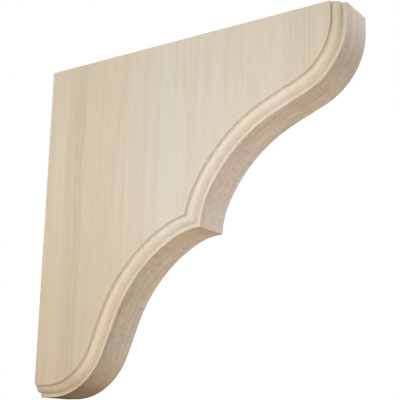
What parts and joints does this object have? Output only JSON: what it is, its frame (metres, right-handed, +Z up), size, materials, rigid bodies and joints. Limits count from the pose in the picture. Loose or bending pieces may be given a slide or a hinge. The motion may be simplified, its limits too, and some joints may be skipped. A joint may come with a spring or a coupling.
{
  "type": "wooden corbel bracket",
  "caption": "Wooden corbel bracket with a scrolled and moulded lower edge, fixed to a wall to carry a shelf, mantel or overhanging top.",
  "frame": {"origin": "middle of the wall face, the flat back that is fixed to the wall", "axes": "+Y out of the wall face towards the wall, so the bracket stands out along -Y; +Z up, towards the top face; X through the thickness"},
  "size_m": [0.0444, 0.254, 0.254],
  "materials": {
    "wood": "unfinished pale hardwood, sanded, glued up from staves with the grain upright"
  },
  "bodies": {
    "root": {"bracket": "wood"}
  },
  "joints": []
}
